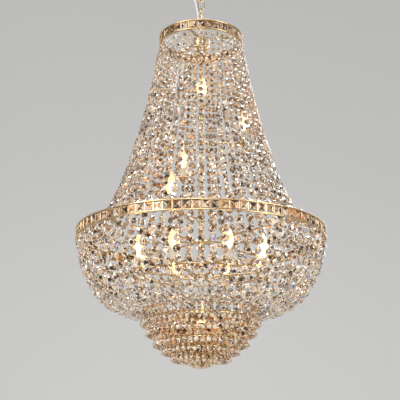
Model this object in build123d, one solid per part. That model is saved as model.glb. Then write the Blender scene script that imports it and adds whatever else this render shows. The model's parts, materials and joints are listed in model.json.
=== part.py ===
from build123d import *
from math import cos, pi, radians, sin, tan
import os

# Crystal chandelier. Millimetres, +Z up, origin on the ceiling plane at the centre of the mounting bar.
# Heights called *_z are measured from the ceiling, so they are negative.

# ---- driving dimensions -------------------------------------------------------------------------
SEAT = 0.3                       # gap left between two pieces that seat on each other
CUT = 1.0                        # how far a cutting shape runs past the face that it cuts

# flat sides of turned and bent pieces
turned_sides = 16                # column, collars, nipple, cup
small_sides = 8                  # bulbs, sockets, wire and cord
rod_sides = 6                    # rods, lamp arms, drip cups, sleeves and lamp holders
canopy_sides = 16
plate_sides = 24
tier_sides = [36, 24, 24, 24, 24]

# ceiling fitting
canopy_radius = 62.0
canopy_depth = 24.0
canopy_wall = 1.2
canopy_shoulder_radius = 56.0
canopy_shoulder_height = 6.0     # of the slope between the flat face and the skirt
canopy_face_radius = 48.0
bar_length = 105.0
bar_width = 18.0
bar_thickness = 2.5
slot_centre = 39.75              # each screw slot, from the centre of the bar
slot_length = 14.0
slot_width = 5.0
nipple_radius = 5.0
nipple_bore = 3.5
nipple_engagement = 7.0          # thread of the nipple inside the neck of the loop
locknut_across = 16.0
locknut_height = 5.0
collar_radius = 15.0
collar_height = 5.0
neck_radius = 13.0
neck_height = 8.0

# chain
wire_radius = 2.6
link_bend = 9.4                  # from the centre of a bend to the centre of its wire
link_straight = 20.4             # straight side of a link between its two bends
loop_leg = 7.7                   # straight leg of the ceiling loop, below its neck

# power cord
cord_radius = 2.5
cord_route = [
    (-18.0, -1.0, -238.0),
    (-15.0, -5.0, -196.0),
    (-8.6, -6.5, -150.0),
    (-14.0, -6.0, -112.0),
    (-23.5, -3.5, -76.0),
    (-30.5, -0.5, -42.0),
    (-31.0, 0.0, -14.0),
]
bushing_x = -30.5
bushing_bore = 10.0
bushing_radius = 13.0
bushing_height = 3.0
bushing_hole = 11.3              # hole in the canopy that the bushing closes round

# crown and main ring: two bands of square windows with a crystal in each
crown_top_z = -219.0
ring_top_z = -870.0
crown_radius = 134.5
ring_radius = 380.0
rail_width = 8.0
rail_height = 3.5
window_height = 24.5
crown_windows = 32
ring_windows = 90
mullion_width = 2.4
crystal_peak = 5.0               # height of the cut pyramid in front of the girdle

# stem, column and what it carries
stem_radius = 4.5
stem_end_z = -246.0
crown_hub_radius = 12.0
crown_arm_count = 3
crown_arm_width = 8.0
stem_nut_across = 16.0
stem_nut_height = 6.0
column_radius = 7.0
column_end_z = -1046.0
cup_radius = 27.0
cup_wall = 1.2
cup_top_z = -224.0
cup_depth = 38.0
column_collar_radius = 12.0
column_collar_height = 6.0
spoke_count = 8
spoke_width = 10.0
spoke_thickness = 4.0
spoke_hub_radius = 28.0

# lamps
lamp_count = 8
lamp_circle = 200.0
lamp_arm_z = -1008.0
lamp_arm_radius = 4.0
lamp_hub_radius = 26.0
lamp_hub_height = 12.0
lamp_turn = 22.5                 # the lamps stand between the spokes
upper_arm_heights_z = [-498.0, -578.0, -670.0, -830.0]
upper_arm_reaches = [75.0, 138.0, 128.0, 150.0]
upper_arm_turns = [-88.0, 5.0, 118.0, -126.0]          # degrees
upper_arm_radius = 3.5
upper_socket_height = 12.0
drip_foot = 9.0
drip_rim = 15.0
drip_height = 8.0
sleeve_radius = 11.6
sleeve_bore = 10.0
sleeve_height = 30.0
holder_radius = 9.4
holder_height = 27.0
holder_bore = 7.8
holder_depth = 21.0
cap_radius = 6.3                 # screw cap of a bulb, inside its holder
bulb_profile = [                 # height above the sleeve's rim, radius
    (27.0, 17.5),
    (60.0, 7.0),
]
bulb_tip = 76.0

lamp_ring_outer = 176.0
lamp_ring_width = 8.0
lamp_ring_height = 5.0
lamp_ring_sides = 24

# basket under the main ring: tiers of rings on bent ribs, with a fringe of drops on each
tier_radii = [176.0, 161.0, 138.0, 112.0, 85.0]
tier_tops_z = [-1094.0, -1134.0, -1169.0, -1195.0, -1220.0]
tier_heights = [10.0, 6.0, 6.0, 6.0, 6.0]
tier_thickness = 3.0
drop_lengths = [53.0, 48.0, 47.0, 44.0, 41.0]
drop_half_widths = [5.5, 6.5, 7.0, 7.0, 7.0]
drop_pitch = 17.5
drop_belly = 0.68                # how far down a drop its widest place lies, as a share of its length
rib_count = 6
rib_depth = 4.0
rib_thickness = 3.0
rib_turn = 30.0
hanger_radius = 1.8
hanger_count = 8
lower_bar_tier = 3               # the lower lamp's bar lies level with this tier, counted from 0
lower_bar_width = 12.0
lower_bar_height = 4.0
base_plate_radius = 60.0
base_plate_height = 3.0
base_plate_drop = 4.0            # below the last tier's ring
base_drop_half = 6.0
base_circle_shares = [0.9, 0.6, 0.3, 0.0]              # circles of drops, as shares of the plate's radius
base_drop_counts = [18, 12, 6, 1]
base_drop_lengths = [34.5, 40.5, 46.5, 48.5]

# strands: points of one strand in the plane of the axis, as height over the ring's top, radius, half width
upper_count = 48
upper_points = [
    (440.0, 162.0, 6.8),
    (220.0, 218.0, 8.8),
    (70.0, 275.0, 10.6),
    (12.0, 325.0, 11.5),
]
lower_count = 68
lower_points = [                 # here the second number is the way in from the middle of the ring's rail
    (-104.0, 24.0, 9.6),
    (-186.0, 65.0, 10.2),
    (-229.0, 132.0, 8.0),
]

# ---- sizes that follow ----------------------------------------------------------------------------
band_height = 2 * rail_height + window_height
crown_bottom_z = crown_top_z - band_height
ring_bottom_z = ring_top_z - band_height
canopy_plate_z = -canopy_depth
collar_bottom_z = canopy_plate_z - collar_height
neck_bottom_z = collar_bottom_z - neck_height
link_step = 2 * wire_radius + SEAT                     # between the centres of two wires that touch
link_span = 2 * link_bend + link_straight              # between the two ends' wire centres of a link
loop_wire_z = neck_bottom_z - loop_leg - link_bend
upper_link_top_z = loop_wire_z + link_step
upper_link_bottom_z = upper_link_top_z - link_span
lower_link_top_z = upper_link_bottom_z + link_step
lower_link_bottom_z = lower_link_top_z - link_span
eye_top_z = lower_link_bottom_z + link_step
eye_bottom_z = eye_top_z - 2 * link_bend
nipple_hole = nipple_radius + SEAT
stem_hole = stem_radius + SEAT
column_hole = column_radius + SEAT
column_top_z = crown_top_z - rail_height
cup_bottom_z = cup_top_z - cup_depth
spokes_top_z = ring_bottom_z + rail_height
lamp_ring_top_z = lamp_arm_z + lamp_arm_radius + SEAT + lamp_ring_height
sleeve_bottom = 2 * SEAT + drip_height                 # above what the lamp's drip cup stands on
sleeve_rim = sleeve_bottom + sleeve_height
base_plate_top_z = tier_tops_z[-1] - tier_heights[-1] - base_plate_drop
three_sides = [0, 2 * pi / 3, 4 * pi / 3]
crown_strand_radius = crown_radius - rail_width / 2
ring_strand_radius = ring_radius - rail_width / 2
upper_lamps = list(zip(upper_arm_heights_z, upper_arm_reaches, upper_arm_turns))
base_circles = [
    (share * base_plate_radius, count, length)
    for share, count, length in zip(base_circle_shares, base_drop_counts, base_drop_lengths)
]


# ---- helpers --------------------------------------------------------------------------------------
def flat_face(points):
    return Face(Wire.make_polygon(points, close=True))


def faceted(rings, closed=False, planar=True):
    """A solid of flat facets through rings of points; a ring of one point is a tip."""
    pairs = list(zip(rings, rings[1:]))
    if closed:
        pairs.append((rings[-1], rings[0]))
    faces = []
    for low, high in pairs:
        count = max(len(low), len(high))
        for i in range(count):
            j = (i + 1) % count
            if len(low) == 1:
                faces.append(flat_face([low[0], high[j], high[i]]))
            elif len(high) == 1:
                faces.append(flat_face([low[i], low[j], high[0]]))
            elif planar:
                faces.append(flat_face([low[i], low[j], high[j], high[i]]))
            else:
                faces.append(flat_face([low[i], low[j], high[j]]))
                faces.append(flat_face([low[i], high[j], high[i]]))
    if not closed:
        faces += [flat_face(ring) for ring in (rings[0], rings[-1]) if len(ring) > 2]
    return Solid(Shell(faces))


def corner_radius(radius, sides):
    return radius / cos(pi / sides)


def polygon_ring(radius, sides, z):
    """Corners of a regular polygon whose flats are at the given radius, one flat facing +X."""
    corner = corner_radius(radius, sides)
    turns = [2 * pi * (i + 0.5) / sides for i in range(sides)]
    return [Vector(corner * cos(t), corner * sin(t), z) for t in turns]


def turned(profile, sides):
    """A faceted turned piece from (height, radius) pairs; radius 0 is a tip."""
    return faceted([polygon_ring(r, sides, z) if r else [Vector(0, 0, z)] for z, r in profile])


def peg(radius, top_z, height, sides=turned_sides):
    return turned([(top_z - height, radius), (top_z, radius)], sides)


def bored(shape, bore, top_z, height, sides=turned_sides):
    return shape - peg(bore, top_z + CUT, height + 2 * CUT, sides)


def hoop(outer, inner, top_z, height, sides=turned_sides):
    return bored(peg(outer, top_z, height, sides), inner, top_z, height, sides)


def hex_nut(across, top_z, height, bore):
    return bored(peg(across / 2, top_z, height, sides=6), bore, top_z, height)


def strip(start, end, width, top_z, height):
    """A flat bar along +X from one radius to another."""
    return Pos((start + end) / 2, 0, top_z - height / 2) * Box(end - start, width, height)


def rod_x(start, end, radius, z):
    """A straight rod along +X, with a flat on its upper side."""
    length = end - start
    return Pos(start, 0, z) * Rot(0, 90, 0) * peg(radius, length, length, rod_sides)


def around(shape, count, turn=0.0):
    return [Rot(0, 0, turn + 360.0 * i / count) * shape for i in range(count)]


def save(name, shapes):
    solids = []
    for shape in shapes if isinstance(shapes, list) else [shapes]:
        solids += list(shape.solids())
    export_step(solids[0] if len(solids) == 1 else Compound(children=solids), f"parts/{name}.step")


# ---- chain wire -------------------------------------------------------------------------------------
def wire_sections(corners, closed):
    """Sections at the mitred corners of a wire bent in the XZ plane."""
    turns = [2 * pi * (k + 0.5) / small_sides for k in range(small_sides)]
    last = len(corners) - 1
    sections = []
    for i, corner in enumerate(corners):
        before = corners[i - 1] if closed or i > 0 else corner * 2 - corners[i + 1]
        after = corners[(i + 1) % len(corners)] if closed or i < last else corner * 2 - corners[i - 1]
        out = (after - corner).normalized()
        along = ((corner - before).normalized() + out).normalized()
        mitre = 1 / along.dot(out)
        side = Vector(-along.Z, 0, along.X) * (wire_radius * mitre)
        sections.append([corner + side * cos(t) + Vector(0, wire_radius * sin(t), 0) for t in turns])
    return sections


def bend_corners(centre_z, start, stop):
    """Corners of half a turn of wire, in steps of 30 degrees."""
    reach = link_bend / cos(radians(15))
    turns = [radians(a) for a in range(start, stop, 30)]
    return [Vector(reach * cos(t), 0, centre_z + reach * sin(t)) for t in turns]


def chain_link(top_z, straight):
    """A closed link in the XZ plane, with its upper wire's centre at top_z."""
    upper = bend_corners(top_z - link_bend, 15, 180)
    lower = bend_corners(top_z - link_bend - straight, 195, 360)
    return faceted(wire_sections(upper + lower, closed=True), closed=True)


def ceiling_loop():
    """The loop under the canopy: a round neck with a U of wire below it."""
    legs_top = neck_bottom_z + CUT
    corners = [Vector(-link_bend, 0, legs_top)]
    corners += bend_corners(loop_wire_z + link_bend, 195, 360)
    corners.append(Vector(link_bend, 0, legs_top))
    neck = peg(neck_radius, collar_bottom_z, neck_height)
    thread = peg(nipple_hole, collar_bottom_z + CUT, nipple_engagement + CUT)
    return neck + faceted(wire_sections(corners, closed=False)) - thread


# ---- ceiling fitting ----------------------------------------------------------------------------------
def mounting_bar():
    bar = Pos(0, 0, -bar_thickness / 2) * Box(bar_length, bar_width, bar_thickness)
    for side in (-1, 1):
        slot = extrude(SlotOverall(slot_length, slot_width), 2 * bar_thickness, both=True)
        bar -= Pos(side * slot_centre, 0, 0) * slot
    return bored(bar, nipple_hole, 0, bar_thickness)


def ceiling_canopy():
    shoulder_z = canopy_plate_z + canopy_shoulder_height
    floor_z = canopy_plate_z + canopy_wall
    outside = [
        (canopy_plate_z, canopy_face_radius),
        (shoulder_z, canopy_shoulder_radius),
        (0, canopy_radius),
    ]
    inside = [
        (floor_z, canopy_face_radius - canopy_wall / 2),
        (shoulder_z, canopy_shoulder_radius - canopy_wall),
        (CUT, canopy_radius - canopy_wall),
    ]
    cup = turned(outside, canopy_sides) - turned(inside, canopy_sides)
    cup = bored(cup, nipple_hole, floor_z, canopy_wall)
    return cup - Pos(bushing_x, 0, 0) * peg(bushing_hole, floor_z + CUT, canopy_wall + 2 * CUT)


def threaded_nipple():
    bottom_z = collar_bottom_z - nipple_engagement + SEAT
    return hoop(nipple_radius, nipple_bore, 0, -bottom_z)


def cord_bushing():
    return Pos(bushing_x, 0, 0) * hoop(bushing_radius, bushing_bore, canopy_plate_z, bushing_height)


# ---- power cord -----------------------------------------------------------------------------------------
def power_cord():
    """Straight runs joined by arcs as large as the runs allow."""
    points = [Vector(*p) for p in cord_route]
    runs = [(b - a).length for a, b in zip(points, points[1:])]
    radii = []
    for i in range(1, len(points) - 1):
        turn = radians((points[i] - points[i - 1]).get_angle(points[i + 1] - points[i]))
        radii.append(0.45 * min(runs[i - 1], runs[i]) / tan(turn / 2))
    path = FilletPolyline(*points, radius=radii)
    section = RegularPolygon(cord_radius, small_sides)
    tube = sweep(Plane(origin=path @ 0, z_dir=path % 0) * section, path=path)
    print("cord length", round(path.length, 1), "radii", [round(r, 1) for r in radii])
    print("cord volume over section times length", round(tube.volume / (section.area * path.length), 4))
    return tube


# ---- window bands -----------------------------------------------------------------------------------------
def window_crystal(radius, width, height, centre_z):
    """A square crystal, flat behind, with a low cut pyramid in front."""
    girdle = [
        Vector(radius, y * width / 2, centre_z + z * height / 2)
        for y, z in ((-1, -1), (1, -1), (1, 1), (-1, 1))
    ]
    return faceted([girdle, [Vector(radius + crystal_peak, 0, centre_z)]])


def window_band(name, radius, windows, top_z, rail_sides):
    """Upper and lower rail, mullions and crystals of a band of square windows."""
    rail_tops = (top_z, top_z - rail_height - window_height)
    save(f"{name}_rails", [hoop(radius, radius - rail_width, z, rail_height, rail_sides) for z in rail_tops])
    middle = radius - crystal_peak
    post_top_z = top_z - rail_height - SEAT
    post_height = window_height - 2 * SEAT
    post = Pos(middle, 0, 0) * peg(mullion_width / 2 / tan(pi / 3), post_top_z, post_height, sides=3)
    save(f"{name}_mullions", around(post, windows, 180.0 / windows))
    width = 2 * middle * tan(pi / windows) - mullion_width - 2 * SEAT
    crystal = window_crystal(middle, width, post_height, top_z - band_height / 2)
    save(f"{name}_window_crystals", around(crystal, windows))


# ---- strands and drops ------------------------------------------------------------------------------------
def strand(top, points, end):
    """One graduated string of crystals in the XZ plane: a three-sided taper between two tips."""
    places = [top] + [Vector(r, 0, ring_top_z + rise) for rise, r, half in points] + [end]
    sections = []
    for i, (rise, r, half) in enumerate(points, 1):
        along = (places[i + 1] - places[i - 1]).normalized()
        outward = Vector(-along.Z, 0, along.X) * half
        sections.append([places[i] + outward * cos(t) + Vector(0, half * sin(t), 0) for t in three_sides])
    return faceted([[top]] + sections + [[end]], planar=False)


def upper_strands():
    """From the underside of the crown, sagging out to the top of the main ring."""
    top = Vector(crown_strand_radius, 0, crown_bottom_z - SEAT)
    end = Vector(ring_strand_radius, 0, ring_top_z + SEAT)
    return around(strand(top, upper_points, end), upper_count)


def lower_strands():
    """From the underside of the main ring, bellying in to the first tier of the basket."""
    top = Vector(ring_strand_radius, 0, ring_bottom_z - SEAT)
    points = [(rise, ring_strand_radius - way_in, half) for rise, way_in, half in lower_points]
    tier_middle_z = tier_tops_z[0] - tier_heights[0] / 2
    end = Vector(corner_radius(tier_radii[0], tier_sides[0]) + SEAT, 0, tier_middle_z)
    return around(strand(top, points, end), lower_count)


def drop(radius, top_z, length, half):
    """A long cut drop, widest low down, hanging from its tip."""
    belly_z = top_z - drop_belly * length
    belly = [Vector(radius + half * cos(t), half * sin(t), belly_z) for t in three_sides]
    return faceted([[Vector(radius, 0, top_z - length)], belly, [Vector(radius, 0, top_z)]])


# ---- column -------------------------------------------------------------------------------------------
def hanging_eye():
    stem_top_z = eye_bottom_z + wire_radius / 2
    eye = Rot(0, 0, 90) * chain_link(eye_top_z, 0.0)
    return eye + peg(stem_radius, stem_top_z, stem_top_z - stem_end_z)


def crown_arms():
    """A hub on the stem and flat arms that reach to the crown's upper rail."""
    hub = hoop(crown_hub_radius, stem_hole, crown_top_z, rail_height, sides=4 * crown_arm_count)
    reach = crown_radius - rail_width - SEAT
    arm = strip(crown_hub_radius + SEAT, reach, crown_arm_width, crown_top_z, rail_height)
    return [hub] + around(arm, crown_arm_count)


def centre_column():
    return hoop(column_radius, stem_hole, column_top_z, column_top_z - column_end_z)


def wiring_cup():
    inside = peg(cup_radius - cup_wall, cup_top_z + CUT, cup_depth - cup_wall + CUT)
    cup = peg(cup_radius, cup_top_z, cup_depth) - inside
    return bored(cup, column_hole, cup_bottom_z + cup_wall, cup_wall)


def ring_spokes():
    """A hub on the column and flat spokes that reach to the main ring's lower rail."""
    hub = hoop(spoke_hub_radius, column_hole, spokes_top_z, spoke_thickness, sides=2 * spoke_count)
    reach = ring_radius - rail_width - SEAT
    spoke = strip(spoke_hub_radius + SEAT, reach, spoke_width, spokes_top_z, spoke_thickness)
    return [hub] + around(spoke, spoke_count)


def column_collars():
    """Turned collars, each fixed on the column under the piece that it carries."""
    carried_bottoms = [cup_bottom_z, spokes_top_z - spoke_thickness, lamp_arm_z - lamp_hub_height / 2]
    return [
        hoop(column_collar_radius, column_hole, z, column_collar_height, small_sides)
        for z in carried_bottoms
    ]


# ---- lamps --------------------------------------------------------------------------------------------
def lamp_arms():
    hub = hoop(lamp_hub_radius, column_hole, lamp_arm_z + lamp_hub_height / 2, lamp_hub_height, lamp_count)
    arm = rod_x(lamp_hub_radius + SEAT, lamp_circle + lamp_arm_radius, lamp_arm_radius, lamp_arm_z)
    return [Rot(0, 0, lamp_turn) * hub] + around(arm, lamp_count, lamp_turn)


def upper_lamp_arms():
    """Single arms, each on its own socket round the column."""
    arms = []
    for z, reach, turn in upper_lamps:
        socket_top_z = z + upper_socket_height / 2
        socket = hoop(column_collar_radius, column_hole, socket_top_z, upper_socket_height, small_sides)
        arm = rod_x(column_collar_radius - CUT, reach + upper_arm_radius, upper_arm_radius, z)
        arms.append(Rot(0, 0, turn) * (socket + arm))
    return arms


def lamp_places():
    """Where each lamp stands: the top of what its drip cup stands on."""
    places = []
    for i in range(lamp_count):
        t = radians(lamp_turn + 360.0 * i / lamp_count)
        places.append(Pos(lamp_circle * cos(t), lamp_circle * sin(t), lamp_arm_z + lamp_arm_radius))
    for z, reach, turn in upper_lamps:
        t = radians(turn)
        places.append(Pos(reach * cos(t), reach * sin(t), z + upper_arm_radius))
    places.append(Pos(0, 0, tier_tops_z[lower_bar_tier]))
    return places


def drip_cup():
    return turned([(SEAT, drip_foot), (SEAT + drip_height, drip_rim)], rod_sides)


def candle_sleeve():
    return hoop(sleeve_radius, sleeve_bore, sleeve_rim, sleeve_height, rod_sides)


def lamp_holder():
    top_z = sleeve_bottom + holder_height
    socket = peg(holder_bore, top_z + CUT, holder_depth + CUT, rod_sides)
    return peg(holder_radius, top_z, holder_height, rod_sides) - socket


def bulb():
    """A candle bulb: its screw cap, down in the holder, and its glass."""
    cap_bottom_z = sleeve_bottom + holder_height - holder_depth + SEAT
    profile = [(cap_bottom_z, cap_radius), (sleeve_rim, cap_radius)]
    profile += [(sleeve_rim + height, radius) for height, radius in bulb_profile]
    profile.append((sleeve_rim + bulb_tip, 0))
    return turned(profile, small_sides)


# ---- basket -------------------------------------------------------------------------------------------
def basket_rib():
    """A strip bent in steps down the inside of the tier rings, with its foot on the base plate."""
    outer = []
    for radius, top_z, height in zip(tier_radii, tier_tops_z, tier_heights):
        r = radius - tier_thickness - SEAT
        outer += [(r, top_z), (r, top_z - height)]
    inner = [(r - rib_depth, z) for r, z in reversed(outer)]
    foot_z = base_plate_top_z + SEAT
    foot = [(base_plate_radius, foot_z), (base_plate_radius - rib_depth, foot_z)]
    face = flat_face([Vector(r, 0, z) for r, z in outer + foot + inner])
    return extrude(face, rib_thickness / 2, dir=(0, 1, 0), both=True)


def tier_fringe(index):
    """A ring of drops under one tier, at the pitch that the tier's length allows."""
    radius = tier_radii[index] - tier_thickness / 2
    count = round(2 * pi * radius / drop_pitch)
    top_z = tier_tops_z[index] - tier_heights[index] - SEAT
    return around(drop(radius, top_z, drop_lengths[index], drop_half_widths[index]), count)


def base_drops():
    top_z = base_plate_top_z - base_plate_height - SEAT
    drops = []
    for radius, count, length in base_circles:
        drops += around(drop(radius, top_z, length, base_drop_half), count)
    return drops


def hanger_rods():
    """Rods from the lamp ring down to the first tier."""
    top_z = lamp_arm_z + lamp_arm_radius
    rod = peg(hanger_radius, top_z, top_z - tier_tops_z[0] - SEAT, rod_sides)
    return around(Pos(tier_radii[0] - tier_thickness / 2, 0, 0) * rod, hanger_count)


def lower_lamp_bar():
    """A bar between two opposite ribs, which carries the lamp in the basket."""
    reach = tier_radii[lower_bar_tier] - tier_thickness - SEAT - rib_depth - SEAT
    top_z = tier_tops_z[lower_bar_tier]
    return Rot(0, 0, rib_turn) * strip(-reach, reach, lower_bar_width, top_z, lower_bar_height)


# ---- write every piece --------------------------------------------------------------------------------
os.makedirs("parts", exist_ok=True)

save("mounting_bar", mounting_bar())
save("threaded_nipple", threaded_nipple())
save("nipple_locknut", hex_nut(locknut_across, -bar_thickness, locknut_height, nipple_hole))
save("ceiling_canopy", ceiling_canopy())
save("canopy_collar", hoop(collar_radius, nipple_hole, canopy_plate_z, collar_height))
save("ceiling_loop", ceiling_loop())
save("cord_bushing", cord_bushing())
save("upper_chain_link", Rot(0, 0, 90) * chain_link(upper_link_top_z, link_straight))
save("lower_chain_link", chain_link(lower_link_top_z, link_straight))
save("power_cord", power_cord())

save("hanging_eye", hanging_eye())
save("stem_nut", hex_nut(stem_nut_across, crown_top_z + stem_nut_height, stem_nut_height, stem_hole))
save("crown_arms", crown_arms())
save("centre_column", centre_column())
save("wiring_cup", wiring_cup())
save("column_collars", column_collars())
save("ring_spokes", ring_spokes())

window_band("crown", crown_radius, crown_windows, crown_top_z, rail_sides=crown_windows)
window_band("ring", ring_radius, ring_windows, ring_top_z, rail_sides=ring_windows // 2)
save("upper_strands", upper_strands())
save("lower_strands", lower_strands())

save("lamp_arms", lamp_arms())
save("upper_lamp_arms", upper_lamp_arms())
lamp_ring_inner = lamp_ring_outer - lamp_ring_width
save("lamp_ring", hoop(lamp_ring_outer, lamp_ring_inner, lamp_ring_top_z, lamp_ring_height, lamp_ring_sides))
lamps = lamp_places()
save("drip_cups", [place * drip_cup() for place in lamps])
save("candle_sleeves", [place * candle_sleeve() for place in lamps])
save("lamp_holders", [place * lamp_holder() for place in lamps])
for number, place in enumerate(lamps, 1):
    save(f"bulb_{number}", place * bulb())

save("hanger_rods", hanger_rods())
for index, (radius, top_z, height) in enumerate(zip(tier_radii, tier_tops_z, tier_heights)):
    tier_ring = hoop(radius, radius - tier_thickness, top_z, height, tier_sides[index])
    save(f"tier_{index + 1}_ring", tier_ring)
    save(f"tier_{index + 1}_drops", tier_fringe(index))
save("basket_ribs", around(basket_rib(), rib_count, rib_turn))
save("lower_lamp_bar", lower_lamp_bar())
save("base_plate", peg(base_plate_radius, base_plate_top_z, base_plate_height, plate_sides))
save("base_drops", base_drops())
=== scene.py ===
import bpy
import json
import random
from math import cos, pi, radians, sin, tan
from mathutils import Matrix, Vector


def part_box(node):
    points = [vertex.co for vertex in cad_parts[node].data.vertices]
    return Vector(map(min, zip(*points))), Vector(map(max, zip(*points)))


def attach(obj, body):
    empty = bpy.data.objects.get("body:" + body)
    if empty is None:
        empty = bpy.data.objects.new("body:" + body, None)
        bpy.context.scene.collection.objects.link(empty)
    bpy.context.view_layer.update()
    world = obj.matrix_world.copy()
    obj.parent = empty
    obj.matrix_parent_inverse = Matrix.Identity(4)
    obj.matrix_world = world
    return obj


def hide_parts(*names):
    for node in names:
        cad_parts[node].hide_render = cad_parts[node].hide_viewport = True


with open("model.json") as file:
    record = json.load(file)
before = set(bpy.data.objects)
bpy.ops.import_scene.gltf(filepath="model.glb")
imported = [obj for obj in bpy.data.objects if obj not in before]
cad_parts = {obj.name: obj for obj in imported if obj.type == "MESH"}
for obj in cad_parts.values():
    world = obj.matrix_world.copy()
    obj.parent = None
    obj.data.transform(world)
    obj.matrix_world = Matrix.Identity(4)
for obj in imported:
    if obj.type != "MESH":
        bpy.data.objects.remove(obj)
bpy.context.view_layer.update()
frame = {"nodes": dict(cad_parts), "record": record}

# Crystal chandelier. Sizes in this file are millimetres in the frame's axes; MM turns them into metres.
MM = 0.001

# ---- camera ---------------------------------------------------------------------------------------
CAMERA_PLACE = (0.0, -2912.6, -1619.9)
CAMERA_TILT = 106.345            # degrees from straight down
LENS = 88.78                     # for a 36 mm sensor
LENS_SHIFT = -0.0025


def make_camera():
    data = bpy.data.cameras.new("camera")
    data.lens = LENS
    data.shift_x = LENS_SHIFT
    data.clip_end = 100.0
    camera = bpy.data.objects.new("camera", data)
    camera.location = Vector(CAMERA_PLACE) * MM
    camera.rotation_euler = (radians(CAMERA_TILT), 0, 0)
    bpy.context.collection.objects.link(camera)
    bpy.context.scene.camera = camera


# ---- finishes -------------------------------------------------------------------------------------
class Shade:
    """A socket of one finish; arithmetic on it adds Math nodes."""

    def __init__(self, finish, socket):
        self.finish = finish
        self.socket = socket

    def math(self, operation, *terms):
        return self.finish.node("ShaderNodeMath", {"operation": operation}, dict(enumerate(terms)))

    def __add__(self, other):
        return self.math("ADD", self, other)

    def __mul__(self, other):
        return self.math("MULTIPLY", self, other)

    def __rsub__(self, other):
        return self.math("SUBTRACT", other, self)

    __radd__ = __add__
    __rmul__ = __mul__


class Finish:
    """A material made of nodes round one Principled shader."""

    def __init__(self, name, **constants):
        self.material = bpy.data.materials.new(name)
        self.material.use_nodes = True
        self.tree = self.material.node_tree
        self.shader = next(n for n in self.tree.nodes if n.type == "BSDF_PRINCIPLED")
        self.set(**constants)

    def set(self, **values):
        for name, value in values.items():
            socket = self.shader.inputs[name.replace("_", " ")]
            if isinstance(value, Shade):
                self.tree.links.new(value.socket, socket)
            else:
                socket.default_value = value

    def node(self, kind, settings=None, inputs=None, output=0):
        node = self.tree.nodes.new(kind)
        for name, value in (settings or {}).items():
            if name == "stops":
                node.color_ramp.interpolation = "CONSTANT"
                for _ in value[2:]:
                    node.color_ramp.elements.new(1.0)
                for element, (place, colour) in zip(node.color_ramp.elements, value):
                    element.position = place
                    element.color = (*colour, 1)
            else:
                setattr(node, name, value)
        for name, value in (inputs or {}).items():
            if isinstance(value, Shade):
                self.tree.links.new(value.socket, node.inputs[name])
            else:
                node.inputs[name].default_value = value
        return Shade(self, node.outputs[output])

    def noise(self, scale, detail=2.0):
        place = self.node("ShaderNodeTexCoord", output="Object")
        inputs = {"Vector": place, "Scale": scale, "Detail": detail}
        return self.node("ShaderNodeTexNoise", inputs=inputs)

    def mark(self, name):
        """A number that the mesh keeps for each of its facets."""
        return self.node("ShaderNodeAttribute", {"attribute_name": name}, output="Fac")

    def ramp(self, factor, stops):
        return self.node("ShaderNodeValToRGB", {"stops": stops}, {"Fac": factor})

    def blend(self, factor, low, high):
        settings = {"data_type": "RGBA"}
        return self.node("ShaderNodeMix", settings, {0: factor, 6: low, 7: high}, output=2)

    def bump(self, height, strength, distance):
        inputs = {"Height": height, "Strength": strength, "Distance": distance}
        self.set(Normal=self.node("ShaderNodeBump", inputs=inputs))


def metal_finish(name, bright, deep, roughness):
    """Plated metal, a little deeper and duller in patches."""
    finish = Finish(name, Metallic=1.0)
    patches = finish.noise(60.0)
    grain = finish.noise(900.0, 1.0)
    finish.set(Base_Color=finish.blend(patches, (*deep, 1), (*bright, 1)))
    finish.set(Roughness=roughness + 0.14 * (1 - patches))
    finish.bump(grain, 0.12, 0.0002)
    return finish.material


def crystal_finish():
    """Cut crystal: each facet's colour holds painted light and shade, painted amber lamp glow near a bulb,
    and now and then painted fire.
    """
    finish = Finish("cut_crystal", IOR=1.6, Transmission_Weight=CLEARNESS)
    # Painted light and shade of each facet, blended towards painted amber lamp glow near a bulb, with painted
    # fire laid over it.
    tone = finish.mark("tone")
    fire = finish.mark("fire")
    body = finish.blend(finish.mark("warmth"), finish.ramp(tone, CLEAR_FACET_LIGHT), finish.ramp(tone, AMBER_FACET_GLOW))
    burning = fire.math("GREATER_THAN", fire, 0.001)
    finish.set(Base_Color=finish.blend(burning, body, finish.ramp(fire, PAINTED_FIRE_COLOURS)))
    finish.set(Roughness=0.02 + 0.05 * finish.noise(500.0))
    return finish.material


def plastic_finish(name, colour, shade, roughness):
    finish = Finish(name)
    cloud = finish.noise(120.0)
    finish.set(Base_Color=finish.blend(cloud, (*shade, 1), (*colour, 1)))
    finish.set(Roughness=roughness + 0.1 * cloud)
    finish.bump(finish.noise(1400.0), 0.1, 0.0002)
    return finish.material


def bulb_finish():
    """Lit candle bulb: thin amber glass, a little hazy, glowing softly round its filament."""
    finish = Finish("lit_bulb_glass", IOR=1.3, Transmission_Weight=0.88, Emission_Strength=0.34)
    cloud = finish.noise(70.0)
    finish.set(Base_Color=finish.blend(cloud, (1.0, 0.92, 0.78, 1), (1.0, 0.95, 0.86, 1)))
    finish.set(Emission_Color=finish.blend(cloud, (1.0, 0.42, 0.13, 1), (1.0, 0.52, 0.20, 1)))
    finish.set(Roughness=0.07 + 0.06 * cloud)
    return finish.material


def filament_finish():
    finish = Finish("glowing_filament", Roughness=0.6, Emission_Strength=15.0)
    coil = finish.noise(400.0)
    finish.set(Base_Color=finish.blend(coil, (1.0, 0.80, 0.50, 1), (1.0, 0.90, 0.70, 1)))
    finish.set(Emission_Color=finish.blend(coil, (1.0, 0.80, 0.56, 1), (1.0, 0.90, 0.72, 1)))
    return finish.material


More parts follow.
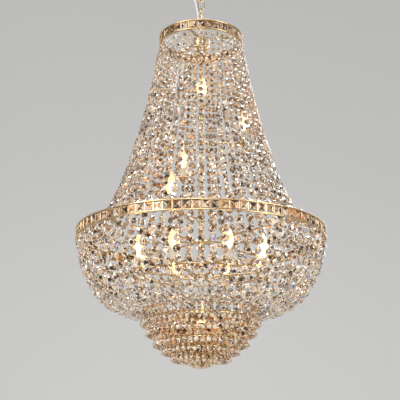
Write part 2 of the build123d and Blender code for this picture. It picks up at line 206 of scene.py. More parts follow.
CLEARNESS = 0.42                 # share of the light that goes through a facet
# Painted light and shade of a facet, from dark to bright: the sparkle and dark reflections of cut glass, put
# into its colour.
CLEAR_FACET_LIGHT = [
    (0.0, (0.026, 0.018, 0.012)),
    (0.24, (0.15, 0.085, 0.040)),
    (0.40, (0.40, 0.265, 0.150)),
    (0.60, (0.68, 0.53, 0.36)),
    (0.80, (0.94, 0.85, 0.72)),
]
# The same painted facet light, tinted amber where a bulb's painted glow falls.
AMBER_FACET_GLOW = [
    (0.0, (0.06, 0.020, 0.006)),
    (0.24, (0.32, 0.115, 0.024)),
    (0.40, (0.64, 0.28, 0.07)),
    (0.60, (0.86, 0.52, 0.20)),
    (0.80, (1.0, 0.82, 0.52)),
]
# Painted fire: the coloured flashes of light that a cut crystal splits.
PAINTED_FIRE_COLOURS = [
    (0.0, (0.20, 0.15, 0.72)),
    (0.26, (0.10, 0.24, 0.80)),
    (0.48, (0.22, 0.55, 0.24)),
    (0.62, (0.78, 0.32, 0.08)),
    (0.84, (0.70, 0.64, 0.88)),
]
FINISHES = {
    "gold_metal": metal_finish("champagne_gold", (0.84, 0.65, 0.39), (0.62, 0.42, 0.21), 0.18),
    "zinc_steel": metal_finish("zinc_plate", (0.66, 0.67, 0.69), (0.48, 0.49, 0.52), 0.30),
    "crystal": crystal_finish(),
    "sleeve": plastic_finish("ivory_sleeve", (0.88, 0.80, 0.64), (0.80, 0.70, 0.52), 0.4),
    "holder": plastic_finish("black_holder", (0.05, 0.05, 0.05), (0.03, 0.03, 0.03), 0.5),
    "cord": plastic_finish("white_cord", (0.84, 0.84, 0.82), (0.72, 0.72, 0.70), 0.35),
    "bushing": plastic_finish("white_bushing", (0.84, 0.83, 0.79), (0.74, 0.73, 0.69), 0.4),
    "bulb_glass": bulb_finish(),
}
FILAMENT = filament_finish()


def dress_frame():
    """Every node of the frame gets the finish of its slot."""
    slots = {row["node"]: row["material_slot"] for row in frame["record"]["subparts"]}
    for name, node in frame["nodes"].items():
        if not node.material_slots:
            node.data.materials.append(None)
        for slot in node.material_slots:
            slot.material = FINISHES[slots[name]]


# ---- mesh building --------------------------------------------------------------------------------
class Build:
    """Corners and faces of one piece, in millimetres."""

    def __init__(self):
        self.corners = []
        self.faces = []

    def add(self, corners, faces):
        first = len(self.corners)
        self.corners += [tuple(Vector(c) * MM) for c in corners]
        self.faces += [tuple(first + i for i in face) for face in faces]

    def piece(self, name, body, slot, stands_for=(), crease=None):
        mesh = bpy.data.meshes.new(name)
        mesh.from_pydata(self.corners, [], self.faces)
        mesh.materials.append(FINISHES[slot])
        if crease is not None:
            mesh.polygons.foreach_set("use_smooth", [True] * len(mesh.polygons))
            mesh.set_sharp_from_angle(angle=radians(crease))
        mesh.update()
        return place_piece(bpy.data.objects.new(name, mesh), body, stands_for)


BULB_COUNT = 13
LAMP_HEIGHT = 114.6              # from a lamp's foot to its bulb's tip
BULB_HEIGHT = 66.0               # of the widest place of the glass over the lamp's foot


def lamp_feet():
    feet = []
    for number in range(1, BULB_COUNT + 1):
        low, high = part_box(f"bulb_{number}")
        middle = ((low[0] + high[0]) / 2 / MM, (low[1] + high[1]) / 2 / MM)
        feet.append((*middle, high[2] / MM - LAMP_HEIGHT))
    return feet


LAMP_FEET = lamp_feet()
LIGHTS = [Vector((x, y, z + BULB_HEIGHT)) for x, y, z in LAMP_FEET]
GLOW_REACH = 230.0               # how far a bulb's painted amber glow reaches on the crystals round it
RING_GLOW = 0.9                  # painted amber glow on the first crystal under a gold ring
FIRE_FAR = 0.02                  # share of the crystals with painted coloured flashes, far from a bulb
FIRE_NEAR = 0.34                 # what a bulb close by adds to it
FACET_FIRE = 0.35                # share of such a crystal's facets that get a painted flash
CRYSTAL_LIGHT_SPREAD = 0.16               # painted light of whole crystals, brighter or darker at random
TABLE_SHADE = 0.72               # painted shade: the flat tables are darker than the facets
# Colour ranges of the painted fire: mostly orange flashes, now and then any colour.
ORANGE_FIRES = [(0.63, 0.83)] * 5 + [(0.01, 1.0)]
ALL_FIRES = [(0.01, 1.0)]


class Stones(Build):
    """Cut crystals; every facet keeps its painted light and shade, painted lamp glow and painted fire for the
    finish.
    """

    def __init__(self, seed, lift=0.0, fires=ORANGE_FIRES):
        super().__init__()
        self.chance = random.Random(seed)
        self.lift = lift
        self.fires = fires
        self.marks = {"tone": [], "warmth": [], "fire": []}

    def add(self, corners, faces, tables=(), glow=0.0, lift=0.0):
        super().add(corners, faces)
        chance = self.chance
        centre = sum((Vector(c) for c in corners), Vector()) / len(corners)
        # Painted amber lamp glow, stronger the closer a bulb stands.
        near = min((centre - light).length for light in LIGHTS)
        warmth = max(glow, max(0.0, 1.0 - near / GLOW_REACH) ** 1.2)
        burning = chance.random() < FIRE_FAR + FIRE_NEAR * warmth
        # The lift raises a whole crystal's painted facet light, and a random spread makes it brighter or
        # darker.
        lift += self.lift + chance.uniform(-CRYSTAL_LIGHT_SPREAD, CRYSTAL_LIGHT_SPREAD)
        for i in range(len(faces)):
            # Each facet gets its own painted light or shade; the tables get painted shade.
            tone = chance.random()
            if i in tables:
                tone *= TABLE_SHADE
            self.marks["tone"].append(min(0.999, max(0.0, tone + lift)))
            self.marks["warmth"].append(min(1.0, warmth * chance.uniform(0.7, 1.6)))
            # Some facets of a flashing crystal get a painted flash of fire.
            lit = burning and chance.random() < FACET_FIRE
            self.marks["fire"].append(chance.uniform(*chance.choice(self.fires)) if lit else 0.0)

    def piece(self, name, body, slot, stands_for=(), crease=None):
        piece = super().piece(name, body, slot, stands_for, crease)
        for mark, values in self.marks.items():
            kept = piece.data.attributes.new(mark, "FLOAT", "FACE")
            kept.data.foreach_set("value", values)
        return piece


def place_piece(piece, body, stands_for=()):
    bpy.context.collection.objects.link(piece)
    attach(piece, body)
    if stands_for:
        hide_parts(*stands_for)
    return piece


def ring_faces(rows, columns, first_row=0, wrap_rows=False):
    """Quads between rows of corners that each go once round."""
    faces = []
    for row in range(rows if wrap_rows else rows - 1):
        after = (row + 1) % rows
        for k in range(columns):
            m = (k + 1) % columns
            low, high = first_row + row * columns, first_row + after * columns
            faces.append((low + k, low + m, high + m, high + k))
    return faces


def turn(build, profile, x=0.0, y=0.0, z=0.0, sides=32, closed=False, **marks):
    """Turns (radius, height) pairs round an upright axis; a closed profile makes a ring."""
    corners = []
    for radius, height in profile:
        turns = [2 * pi * k / sides for k in range(sides)]
        corners += [(x + radius * cos(t), y + radius * sin(t), z + height) for t in turns]
    faces = ring_faces(len(profile), sides, wrap_rows=closed)
    if not closed:
        faces += [tuple(reversed(range(sides))), tuple(range(len(corners) - sides, len(corners)))]
    build.add(corners, faces, **marks)


def band(build, outer, inner, top_z, height, edge, sides=180):
    """A hoop of rectangular section with eased edges."""
    low = top_z - height
    profile = [
        (outer, low + edge), (outer, top_z - edge), (outer - edge, top_z), (inner + edge, top_z),
        (inner, top_z - edge), (inner, low + edge), (inner + edge, low), (outer - edge, low),
    ]
    turn(build, profile, sides=sides, closed=True)


def wire(build, path, radius, sides=12, closed=False):
    """A round wire along points."""
    corners = []
    count = len(path)
    normal = None
    for i, place in enumerate(path):
        before = path[i - 1] if closed or i > 0 else path[i]
        after = path[(i + 1) % count] if closed or i < count - 1 else path[i]
        along = (after - before).normalized()
        if normal is None:
            normal = along.orthogonal().normalized()
        normal = (normal - along * normal.dot(along)).normalized()
        across = along.cross(normal)
        turns = [2 * pi * k / sides for k in range(sides)]
        corners += [place + (normal * cos(t) + across * sin(t)) * radius for t in turns]
    faces = ring_faces(count, sides, wrap_rows=closed)
    if not closed:
        faces += [tuple(reversed(range(sides))), tuple(range(len(corners) - sides, len(corners)))]
    build.add(corners, faces)


def round_turn(degrees):
    return Matrix.Rotation(radians(degrees), 3, "Z")


def node_size(node):
    """(reach along +X, lowest z, highest z) of a node of the frame, in millimetres."""
    low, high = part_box(node)
    return high[0] / MM, low[2] / MM, high[2] / MM


# ---- crystals -------------------------------------------------------------------------------------
def octagon(build, centre, along, facing, size, glow=0.0):
    """A flat cut octagon: table, star facets, girdle and the same behind."""
    half = size / 2
    across = along.cross(facing).normalized()
    levels = [(0.46, 0.50, 0.0), (0.80, 0.27, 0.5), (1.0, 0.06, 0.0)]
    levels += [(r, -h, t) for r, h, t in reversed(levels)]
    corners = []
    for reach, height, twist in levels:
        for k in range(8):
            t = 2 * pi * (k + twist) / 8
            spread = (along * cos(t) + across * sin(t)) * (reach * half)
            corners.append(centre + spread + facing * (height * half))
    faces = [tuple(range(8)), tuple(reversed(range(40, 48)))]
    for row, twisted in ((0, True), (1, False), (2, None), (3, True), (4, False)):
        low, high = 8 * row, 8 * row + 8
        for k in range(8):
            m = (k + 1) % 8
            if twisted is None:
                faces.append((low + k, high + k, high + m, low + m))
            elif twisted:
                faces += [(low + k, high + k, low + m), (low + m, high + k, high + m)]
            else:
                faces += [(low + k, high + m, low + m), (low + k, high + k, high + m)]
    build.add(corners, faces, tables=(0, 1), glow=glow)


def link(build, centre, along, facing, reach):
    """The small wire ring between two crystals."""
    across = along.cross(facing).normalized()
    turns = [2 * pi * k / 8 for k in range(8)]
    path = [centre + along * (reach * cos(t)) + across * (0.62 * reach * sin(t)) for t in turns]
    wire(build, path, 0.55, sides=4, closed=True)


def smooth_line(points, step=3.0):
    """Points every few millimetres along one smooth curve through the given ones."""
    ends = [points[0] * 2 - points[1]] + list(points) + [points[-1] * 2 - points[-2]]
    line = []
    for a, b, c, d in zip(ends, ends[1:], ends[2:], ends[3:]):
        count = max(2, int((c - b).length / step))
        for i in range(count):
            t = i / count
            square = (a * 2 - b * 5 + c * 4 - d) * t**2
            cube = (b * 3 - a - c * 3 + d) * t**3
            line.append((b * 2 + (c - a) * t + square + cube) / 2)
    return line + [points[-1]]


def between(table, share):
    """Straight interpolation in a table of (share, value)."""
    for (low, a), (high, b) in zip(table, table[1:]):
        if share <= high:
            return a + (b - a) * (share - low) / (high - low)
    return table[-1][1]


LINK_GAP = 2.6                   # between two crystals of a pendant
STRAND_GAP = 3.8                 # between two crystals of a strand
HOOK = 4.0                       # of a strand, from the rail to its first ring
SLACK = 4.5                      # how much longer one hook may be than another


def crystal_string(stones, links, line, sizes, twist):
    """Graduated octagons along a line, each turned a little on its wire, with a ring before each."""
    chance = stones.chance
    lengths = [0.0]
    for a, b in zip(line, line[1:]):
        lengths.append(lengths[-1] + (b - a).length)
    total = lengths[-1]

    def at(distance):
        i = next((k for k in range(1, len(lengths)) if lengths[k] >= distance), len(lengths) - 1)
        share = (distance - lengths[i - 1]) / (lengths[i] - lengths[i - 1])
        return line[i - 1].lerp(line[i], share), (line[i] - line[i - 1]).normalized()

    reached = HOOK + chance.uniform(0.0, SLACK)
    wire(links, [at(0.0)[0], at(reached / 2)[0], at(reached + 1.0)[0]], 0.7, sides=6)
    while True:
        size = between(sizes, reached / total)
        if reached + STRAND_GAP + size > total:
            break
        place, along = at(reached + STRAND_GAP / 2)
        outward = Vector((place.x, place.y, 0)).normalized()
        outward = (outward - along * outward.dot(along)).normalized()
        link(links, place, along, outward, STRAND_GAP / 2 + 1.2)
        place, along = at(reached + STRAND_GAP + size / 2)
        facing = (outward - along * outward.dot(along)).normalized()
        facing = Matrix.Rotation(radians(chance.uniform(-twist, twist)), 3, along) @ facing
        octagon(stones, place, along, facing, size)
        reached += STRAND_GAP + size
    place, along = at(total - 0.6)
    link(links, place, along, outward, 2.2)


def curtain(name, line, sizes, count, twist, stones, node):
    """All the strings of one curtain, at the frame's own spacing."""
    links = Build()
    for i in range(count):
        way = round_turn(360.0 * i / count)
        crystal_string(stones, links, [way @ p for p in line], sizes, twist)
    stones.piece(f"{name}_crystals", "fixture", "crystal", [node])
    links.piece(f"{name}_links", "fixture", "gold_metal", crease=40)


# heights over the main ring's top, and radii, down the middle of one string
UPPER_LINE = [
    (560.0, 141.0), (480.0, 154.0), (400.0, 171.5), (320.0, 191.0), (240.0, 214.0), (160.0, 238.0),
    (100.0, 263.0), (60.0, 283.0), (30.0, 303.0), (13.0, 326.0), (6.0, 352.0),
]
BOWL_LINE = [
    (-50.0, 371.0), (-84.0, 362.5), (-120.0, 352.0), (-154.0, 337.0), (-186.0, 317.5), (-212.0, 294.0),
    (-231.0, 266.0), (-243.0, 235.0), (-246.0, 206.0),
]
UPPER_SIZES = [(0.0, 14.5), (0.15, 17.0), (0.45, 21.0), (0.75, 24.5), (1.0, 27.0)]
BOWL_SIZES = [(0.0, 22.0), (0.3, 25.5), (0.6, 23.5), (0.8, 19.0), (1.0, 15.0)]
UPPER_COUNT = 48
BOWL_COUNT = 68
UPPER_TWIST = 38.0               # degrees a crystal may turn on its wire, either way
BOWL_TWIST = 40.0
RAIL_WIDTH = 8.0                 # of the crown and the main ring
RAIL_HEIGHT = 3.5


def strands():
    crown_reach, crown_bottom, _ = node_size("crown_rails")
    ring_reach, ring_bottom, ring_top = node_size("ring_rails")
    tier_reach, tier_low, _ = node_size("tier_1_ring")
    rail_middle = RAIL_WIDTH / 2
    top = Vector((crown_reach - rail_middle, 0, crown_bottom))
    end = Vector((ring_reach - rail_middle, 0, ring_top + 1.0))
    upper = [top] + [Vector((r, 0, ring_top + rise)) for rise, r in UPPER_LINE] + [end]
    top = Vector((ring_reach - rail_middle, 0, ring_bottom))
    end = Vector((tier_reach + 1.0, 0, tier_low + 2.0))
    bowl = [top] + [Vector((r, 0, ring_top + rise)) for rise, r in BOWL_LINE] + [end]
    stones = Stones(11, 0.02)
    curtain("upper", smooth_line(upper), UPPER_SIZES, UPPER_COUNT, UPPER_TWIST, stones, "upper_strands")
    stones = Stones(12, 0.04, ALL_FIRES)
    curtain("bowl", smooth_line(bowl), BOWL_SIZES, BOWL_COUNT, BOWL_TWIST, stones, "lower_strands")


SQUARE = ((-1, -1), (1, -1), (1, 1), (-1, 1))


def window_stones(name, windows, seed):
    """Square stones with an X cut: a bevelled girdle, and four hollow facets up to the peak."""
    reach, low, high = node_size(f"{name}_window_crystals")
    peak = 5.0
    girdle = reach - peak
    half_high = (high - low) / 2
    half_wide = girdle * tan(pi / windows) - 1.5
    middle = (high + low) / 2
    stones = Stones(seed)
    for i in range(windows):
        way = round_turn(360.0 * i / windows)

        def at(depth, y, z):
            return way @ Vector((girdle + depth, y * half_wide, middle + z * half_high))

        corners = []
        for depth, share in ((-2.4, 0.5), (-0.7, 1.0), (0.8, 1.0), (1.6, 0.86)):
            corners += [at(depth, share * y, share * z) for y, z in SQUARE]
        corners.append(at(4.8, 0.0, 0.0))
        corners += [at(1.8, 0.42 * y, 0.42 * z) for y, z in ((0, -1), (1, 0), (0, 1), (-1, 0))]
        faces = ring_faces(4, 4) + [(3, 2, 1, 0)]
        for k in range(4):
            m = (k + 1) % 4
            faces += [(12 + k, 12 + m, 17 + k), (12 + m, 16, 17 + k), (16, 12 + k, 17 + k)]
        # Every window stone gets some painted amber glow.
        stones.add(corners, faces, glow=0.3, lift=0.0)
    stones.piece(f"{name}_window_stones", "fixture", "crystal", [f"{name}_window_crystals"])


def window_bars(name, windows):
    """Flat upright bars with eased edges between the windows."""
    _, low, high = node_size(f"{name}_mullions")
    reach = node_size(f"{name}_window_crystals")[0]
    middle = reach - 5.0
    shape = [
        (-2.0, -0.8), (-1.6, -1.2), (1.6, -1.2), (2.0, -0.8),
        (2.0, 0.8), (1.6, 1.2), (-1.6, 1.2), (-2.0, 0.8),
    ]
    bars = Build()
    for i in range(windows):
        way = round_turn(360.0 * (i + 0.5) / windows)
        corners = [way @ Vector((middle + x, y, z)) for z in (low, high) for x, y in shape]
        faces = ring_faces(2, 8) + [tuple(reversed(range(8))), tuple(range(8, 16))]
        bars.add(corners, faces)
    bars.piece(f"{name}_window_bars", "fixture", "gold_metal", [f"{name}_mullions"])


def bands():
    """The crown and the main ring: round rails, bars and stones."""
    for name, windows, seed in (("crown", 32, 31), ("ring", 90, 32)):
        reach, low, high = node_size(f"{name}_rails")
        hoops = Build()
        for top in (high, low + RAIL_HEIGHT):
            band(hoops, reach, reach - RAIL_WIDTH, top, RAIL_HEIGHT, 0.7)
        hoops.piece(f"{name}_round_rails", "fixture", "gold_metal", [f"{name}_rails"], crease=50)
        window_stones(name, windows, seed)
        window_bars(name, windows)


# ---- basket ---------------------------------------------------------------------------------------
DROP_SHAPE = [(0.05, 0.0), (0.27, -0.14), (0.44, -0.38), (0.50, -0.66), (0.42, -0.88), (0.22, -1.0)]
DROP_LIGHT_LIFT = 0.16                 # painted light: the round end drops get brighter facets than the octagons


def pendant(stones, links, x, y, top_z, length, width):
    """A string of small octagons that ends in a rounded drop."""
    chance = stones.chance
    outward = Vector((x, y, 0)).normalized() if abs(x) + abs(y) > 1 else Vector((0, -1, 0))
    down = Vector((0, 0, -1))
    end_height = 1.1 * width
    size = width * 0.82
    count = max(1, int((length - end_height - LINK_GAP) / (size + LINK_GAP)))
    size = (length - end_height - LINK_GAP) / count - LINK_GAP
    z = top_z
    for number in range(count):
        link(links, Vector((x, y, z - LINK_GAP / 2)), down, outward, LINK_GAP / 2 + 0.9)
        z -= LINK_GAP
        facing = Matrix.Rotation(radians(chance.uniform(-45, 45)), 3, "Z") @ outward
        # The first crystal under the gold ring gets painted amber glow.
        glow = RING_GLOW if number == 0 else 0.0
        octagon(stones, Vector((x, y, z - size / 2)), down, facing, size, glow)
        z -= size
    link(links, Vector((x, y, z - LINK_GAP / 2)), down, outward, LINK_GAP / 2 + 0.9)
    z -= LINK_GAP
    shape = [(r * width, h * end_height) for r, h in reversed(DROP_SHAPE)]
    turn(stones, shape, x, y, z, sides=8, lift=DROP_LIGHT_LIFT)


FRINGE_PITCH = 17.5
DROP_WIDTHS = [14.8, 14.8, 14.6, 14.0, 13.4]
DROP_CLEAR = [0.0, 1.0, 3.0, 4.5, 5.0]       # how far each fringe ends above its node's lowest point


def fringes():
    """One fringe of pendants under each tier, and a round ring for each tier."""
    for tier in range(1, 6):
        reach, low, high = node_size(f"tier_{tier}_ring")
        length = low - node_size(f"tier_{tier}_drops")[1] - DROP_CLEAR[tier - 1]
        radius = reach - 1.5
        count = round(2 * pi * radius / FRINGE_PITCH)
        stones, links = Stones(40 + tier, 0.05), Build()
        for i in range(count):
            t = 2 * pi * i / count
            pendant(stones, links, radius * cos(t), radius * sin(t), low, length, DROP_WIDTHS[tier - 1])
        stones.piece(f"tier_{tier}_pendants", "fixture", "crystal", [f"tier_{tier}_drops"])
        links.piece(f"tier_{tier}_pendant_links", "fixture", "gold_metal", crease=40)
        hoop = Build()
        band(hoop, reach, reach - 3.0, high, high - low, 0.5, sides=144)
        hoop.piece(f"tier_{tier}_round_ring", "fixture", "gold_metal", [f"tier_{tier}_ring"], crease=50)


BASE_CIRCLES = [(54.0, 18, 34.5), (36.0, 12, 40.5), (18.0, 6, 46.5), (0.0, 1, 48.5)]


def base():
    reach, low, high = node_size("base_plate")
    # The base pendants get a strong lift of painted light: their facets are painted brighter.
    stones, links, plate = Stones(51, 0.22), Build(), Build()
    for radius, count, length in BASE_CIRCLES:
        for i in range(count):
            t = 2 * pi * i / count
            pendant(stones, links, radius * cos(t), radius * sin(t), low, length, 15.4)
    stones.piece("base_pendants", "fixture", "crystal", ["base_drops"])
    links.piece("base_pendant_links", "fixture", "gold_metal", crease=40)
    edge = 0.8
    shape = [(reach - edge, low), (reach, low + edge), (reach, high - edge), (reach - edge, high)]
    turn(plate, shape, sides=96)
    plate.piece("round_base_plate", "fixture", "gold_metal", ["base_plate"], crease=50)


# ---- lamps ----------------------------------------------------------------------------------------
GLASS = [
    (6.1, 38.8), (7.4, 41.0), (10.6, 47.0), (14.4, 54.5), (17.0, 62.0), (17.4, 67.0), (16.6, 74.0),
    (13.9, 83.0), (10.2, 92.0), (6.6, 100.5), (3.8, 108.0), (1.8, 113.0), (0.5, 114.5),
]
CAP = [(4.5, 15.3), (6.2, 16.4), (6.2, 37.6), (5.6, 38.6)]
CORE = [(0.8, 39.0), (0.8, 48.0), (3.0, 53.0), (4.8, 60.0), (4.8, 70.0), (3.0, 78.0), (0.5, 83.0)]
CUP = [
    (6.0, 0.4), (8.8, 0.4), (9.2, 2.6), (11.4, 4.6), (14.0, 6.4), (14.9, 7.4), (14.9, 8.2), (14.1, 8.2),
    (12.8, 7.2), (6.0, 5.0),
]
SLEEVE = [(10.0, 8.8), (11.4, 8.8), (11.4, 37.4), (11.0, 38.5), (10.3, 38.5), (10.0, 37.6)]


def lamps():
    feet = LAMP_FEET
    cups, sleeves = Build(), Build()
    for number, (x, y, z) in enumerate(feet, 1):
        turn(cups, CUP, x, y, z, closed=True)
        turn(sleeves, SLEEVE, x, y, z, closed=True)
        glass, cap, filament = Build(), Build(), Build()
        inside = [(max(0.2, r - 0.7), h - 0.2) for r, h in reversed(GLASS)]
        turn(glass, GLASS + inside, x, y, z, closed=True)
        turn(cap, CAP, x, y, z)
        turn(filament, CORE, x, y, z, sides=16)
        glass.piece(f"bulb_{number}_glass", f"bulb_{number}", "bulb_glass", [f"bulb_{number}"], crease=50)
        cap.piece(f"bulb_{number}_cap", f"bulb_{number}", "gold_metal", crease=50)
        core = filament.piece(f"bulb_{number}_filament", f"bulb_{number}", "bulb_glass", crease=50)
        core.data.materials[0] = FILAMENT
    cups.piece("turned_drip_cups", "fixture", "gold_metal", ["drip_cups"], crease=40)
    sleeves.piece("round_sleeves", "fixture", "sleeve", ["candle_sleeves"], crease=40)
    arms = Build()
    hub_reach, hub_low, hub_high = 26.0, feet[0][2] - 10.0, feet[0][2] + 2.0
    hub = [
        (7.3, hub_low), (hub_reach - 4, hub_low), (hub_reach, hub_low + 4), (hub_reach, hub_high - 4),
        (hub_reach - 4, hub_high), (7.3, hub_high),
    ]
    turn(arms, hub, closed=True)
    for x, y, z in feet[:8]:
        out = Vector((x, y, 0)).normalized()
        level = Vector((0, 0, z - 4.0))
        wire(arms, [level + out * r for r in (26.0, 80.0, 140.0, 203.5)], 3.9, sides=16)
    arms.piece("round_lamp_arms", "fixture", "gold_metal", ["lamp_arms"], crease=50)
    singles = Build()
    for x, y, z in feet[8:12]:
        reach = Vector((x, y, 0)).length
        out = Vector((x, y, 0)).normalized()
        level = Vector((0, 0, z - 3.5))
        collar = [(7.3, -6.0), (10.4, -6.0), (11.8, -3.0), (11.8, 3.0), (10.4, 6.0), (7.3, 6.0)]
        turn(singles, collar, z=z - 3.5, closed=True)
        wire(singles, [level + out * r for r in (11.0, reach / 2, reach + 3.0)], 3.4, sides=16)
    singles.piece("round_single_arms", "fixture", "gold_metal", ["upper_lamp_arms"], crease=50)
    reach, low, high = node_size("lamp_ring")
    ring = Build()
    band(ring, reach, reach - 8.0, high, high - low, 0.8)
    ring.piece("round_lamp_ring", "fixture", "gold_metal", ["lamp_ring"], crease=50)


# ---- column and what it carries -------------------------------------------------------------------
COLUMN_BORE = 7.3
HOLDER = [
    (7.8, 14.9), (7.8, 35.2), (8.2, 35.6), (9.0, 35.6), (9.4, 35.0), (9.4, 9.2), (9.0, 8.8), (0.6, 8.8),
    (0.6, 14.9),
]


def sleeve_shape(reach, bore, low, high, edge):
    """Section of a bored round piece with eased edges."""
    return [
        (bore, low), (reach - edge, low), (reach, low + edge), (reach, high - edge), (reach - edge, high),
        (bore, high),
    ]


def column():
    reach, low, high = node_size("centre_column")
    tube = Build()
    turn(tube, sleeve_shape(reach, 4.8, low, high, 0.6), sides=48, closed=True)
    tube.piece("round_column", "fixture", "gold_metal", ["centre_column"], crease=40)
    reach, low, high = node_size("wiring_cup")
    wall, ease = 1.2, 5.0
    outside = [(COLUMN_BORE, low), (reach - ease, low)]
    for a in (30, 60, 90):
        outside.append((reach - ease * (1 - sin(radians(a))), low + ease * (1 - cos(radians(a)))))
    outside += [(reach, high - 1.6), (reach - 0.1, high - 0.2), (reach - 0.5, high)]
    inside = [
        (reach - wall, high - 0.2), (reach - wall, low + ease), (reach - ease, low + wall),
        (COLUMN_BORE, low + wall),
    ]
    cup = Build()
    turn(cup, outside + inside, sides=64, closed=True)
    cup.piece("spun_wiring_cup", "fixture", "gold_metal", ["wiring_cup"], crease=35)
    spokes_low = node_size("ring_spokes")[1]
    hub_low = LAMP_FEET[0][2] - 10.0
    collars = Build()
    shape = [
        (COLUMN_BORE, -6.0), (9.0, -6.0), (10.4, -4.6), (11.8, -2.2), (11.8, 0.0), (COLUMN_BORE, 0.0),
    ]
    for top in (low, spokes_low, hub_low):
        turn(collars, shape, z=top, sides=48, closed=True)
    collars.piece("turned_collars", "fixture", "gold_metal", ["column_collars"], crease=40)


def hangers():
    """Rods from the lamp ring to the first tier."""
    _, low, high = node_size("hanger_rods")
    reach = node_size("tier_1_ring")[0] - 1.5
    rods = Build()
    for i in range(8):
        way = round_turn(45.0 * i)
        line = [way @ Vector((reach, 0, z)) for z in (low, (low + high) / 2, high)]
        wire(rods, line, 1.8, sides=16)
    rods.piece("round_hanger_rods", "fixture", "gold_metal", ["hanger_rods"], crease=50)


def holders():
    """Lamp holders, inside the sleeves."""
    shells = Build()
    for x, y, z in LAMP_FEET:
        turn(shells, HOLDER, x, y, z, closed=True)
    shells.piece("round_lamp_holders", "fixture", "holder", ["lamp_holders"], crease=40)


# ---- chain, ceiling fitting and cord --------------------------------------------------------------
WIRE = 2.5
BEND = 9.4


def link_line(top_z, straight, sideways):
    """The middle of a link's wire, in the XZ plane or, sideways, in the YZ plane."""
    line = []
    for centre, start in ((top_z - BEND, 0), (top_z - BEND - straight, 180)):
        for step in range(13):
            t = radians(start + 15 * step)
            line.append(Vector((BEND * cos(t), 0, centre + BEND * sin(t))))
    return [round_turn(90) @ p for p in line] if sideways else line


def chain():
    for name, body, sideways in (
        ("upper_chain_link", "upper_link", True),
        ("lower_chain_link", "lower_link", False),
    ):
        _, low, high = node_size(name)
        top = high - 2.6
        straight = max(0.0, high - low - 5.2 - 2 * BEND)
        shape = Build()
        wire(shape, link_line(top, straight, sideways), WIRE, closed=True)
        shape.piece(f"round_{name}", body, "gold_metal", [name], crease=60)
    _, low, high = node_size("hanging_eye")
    eye = Build()
    wire(eye, link_line(high - 2.6, 0.0, True), WIRE, closed=True)
    neck = high - 5.2 - 2 * BEND
    turn(eye, [(4.4, low), (4.4, neck - 6), (6.4, neck - 4), (6.4, neck - 1), (4.4, neck + 1.0)])
    eye.piece("round_hanging_eye", "fixture", "gold_metal", ["hanging_eye"], crease=50)


def ceiling_fitting():
    _, low, high = node_size("ceiling_canopy")
    wall = 1.2
    outside = [
        (3.6, low), (46.5, low), (48.6, low + 0.7), (56.4, low + 6.6), (60.0, low + 15.0), (61.8, high),
    ]
    inside = [(r - wall, z + wall) for r, z in reversed(outside[1:-1])]
    canopy = Build()
    turn(canopy, outside + [(61.8 - wall, high)] + inside + [(3.6, low + wall)], sides=96, closed=True)
    canopy.piece("spun_canopy", "ceiling_fitting", "gold_metal", ["ceiling_canopy"], crease=35)
    _, low, high = node_size("canopy_collar")
    collar = Build()
    shape = [(5.3, low), (11.0, low), (14.4, low + 1.6), (14.9, low + 3.2), (14.9, high), (5.3, high)]
    turn(collar, shape, sides=48, closed=True)
    collar.piece("turned_canopy_collar", "ceiling_fitting", "gold_metal", ["canopy_collar"], crease=35)
    _, low, high = node_size("ceiling_loop")
    loop = Build()
    neck_low = high - 8.0
    turn(loop, [(10.8, neck_low), (12.8, neck_low + 2.0), (12.8, high - 1), (12.0, high)], sides=48)
    bottom = low + 2.6
    line = [Vector((-BEND, 0, neck_low + 1.0))]
    for step in range(13):
        t = radians(180 + 15 * step)
        line.append(Vector((BEND * cos(t), 0, bottom + BEND + BEND * sin(t))))
    line.append(Vector((BEND, 0, neck_low + 1.0)))
    wire(loop, line, WIRE)
    loop.piece("round_ceiling_loop", "ceiling_fitting", "gold_metal", ["ceiling_loop"], crease=50)
    reach, low, high = node_size("threaded_nipple")
    nipple = Build()
    turn(nipple, sleeve_shape(reach, 3.5, low, high, 0.4), sides=40, closed=True)
    nipple.piece("round_nipple", "ceiling_fitting", "zinc_steel", ["threaded_nipple"], crease=40)
    box_low, box_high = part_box("cord_bushing")
    middle = (box_low[0] + box_high[0]) / 2 / MM
    ring = Build()
    shape = sleeve_shape(13.0, 10.0, box_low[2] / MM, box_high[2] / MM, 0.9)
    turn(ring, shape, x=middle, sides=64, closed=True)
    ring.piece("round_cord_bushing", "ceiling_fitting", "bushing", ["cord_bushing"], crease=40)


CORD_RADIUS = 2.5
CORD_ROUTE = [
    (-31.0, 0.0, -14.0),
    (-30.5, -0.5, -42.0),
    (-23.5, -3.5, -76.0),
    (-14.0, -6.0, -112.0),
    (-8.6, -6.5, -150.0),
    (-15.0, -5.0, -196.0),
    (-18.0, -1.0, -238.0),
]


def cord():
    curve = bpy.data.curves.new("power_cord_run", "CURVE")
    curve.dimensions = "3D"
    curve.bevel_depth = CORD_RADIUS * MM
    curve.bevel_resolution = 4
    curve.use_fill_caps = True
    spline = curve.splines.new("NURBS")
    spline.points.add(len(CORD_ROUTE) - 1)
    for point, place in zip(spline.points, CORD_ROUTE):
        point.co = (*(Vector(place) * MM), 1.0)
    spline.order_u = 3
    spline.use_endpoint_u = True
    spline.resolution_u = 16
    curve.materials.append(FINISHES["cord"])
    piece = bpy.data.objects.new("power_cord_run", curve)
    place_piece(piece, "lower_link", ["power_cord"])


# ---- studio ---------------------------------------------------------------------------------------
def studio_finish(name, colour):
    """Matte paper, a shade uneven."""
    finish = Finish(name, Roughness=0.9)
    shade = tuple(0.97 * c for c in colour)
    finish.set(Base_Color=finish.blend(finish.noise(0.6), (*shade, 1), (*colour, 1)))
    return finish.material


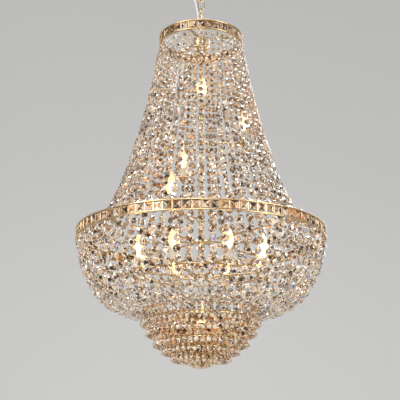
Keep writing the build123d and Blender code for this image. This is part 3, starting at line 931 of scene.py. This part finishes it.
def studio():
    """A pale sweep: floor, curved foot and wall, and five soft lamps round the piece."""
    floor_z, wall_y, foot, wall_top, half_wide = -4200.0, 6000.0, 1600.0, 9000.0, 22000.0
    sweep = [Vector((0, -26000.0, floor_z)), Vector((0, wall_y - foot, floor_z))]
    for step in range(1, 13):
        t = radians(7.5 * step)
        sweep.append(Vector((0, wall_y - foot + foot * sin(t), floor_z + foot * (1 - cos(t)))))
    sweep.append(Vector((0, wall_y, wall_top)))
    corners = []
    for place in sweep:
        corners += [(-half_wide, place.y, place.z), (half_wide, place.y, place.z)]
    mesh = bpy.data.meshes.new("backdrop")
    faces = [(2 * i, 2 * i + 1, 2 * i + 3, 2 * i + 2) for i in range(len(sweep) - 1)]
    mesh.from_pydata([tuple(Vector(c) * MM) for c in corners], [], faces)
    mesh.polygons.foreach_set("use_smooth", [True] * len(faces))
    mesh.materials.append(studio_finish("pale_paper", (0.88, 0.88, 0.875)))
    backdrop = bpy.data.objects.new("backdrop", mesh)
    bpy.context.collection.objects.link(backdrop)

    for name, place, size, power in (
        ("key_lamp", (-2200.0, -2200.0, 200.0), 1800.0, 66.0),
        ("fill_lamp", (2500.0, -1800.0, -700.0), 1600.0, 46.0),
        ("top_lamp", (300.0, 200.0, 1800.0), 1200.0, 40.0),
        ("low_lamp", (-300.0, -2400.0, -2150.0), 1300.0, 34.0),
        ("back_lamp", (900.0, 2600.0, 300.0), 1600.0, 34.0),
    ):
        data = bpy.data.lights.new(name, "AREA")
        data.energy = power
        data.size = size * MM
        lamp = bpy.data.objects.new(name, data)
        lamp.location = Vector(place) * MM
        aim = Vector((0, 0, -750.0)) - Vector(place)
        lamp.rotation_euler = aim.to_track_quat("-Z", "Y").to_euler()
        bpy.context.collection.objects.link(lamp)

    world = bpy.data.worlds.new("studio_air")
    world.use_nodes = True
    air = world.node_tree.nodes["Background"]
    air.inputs["Color"].default_value = (0.84, 0.83, 0.82, 1)
    air.inputs["Strength"].default_value = 0.56
    bpy.context.scene.world = world


# ---- the whole scene ------------------------------------------------------------------------------
make_camera()
cord()
dress_frame()
strands()
bands()
fringes()
base()
lamps()
column()
hangers()
holders()
chain()
ceiling_fitting()
studio()
bpy.context.scene.view_settings.view_transform = "Standard"

bpy.context.view_layer.update()
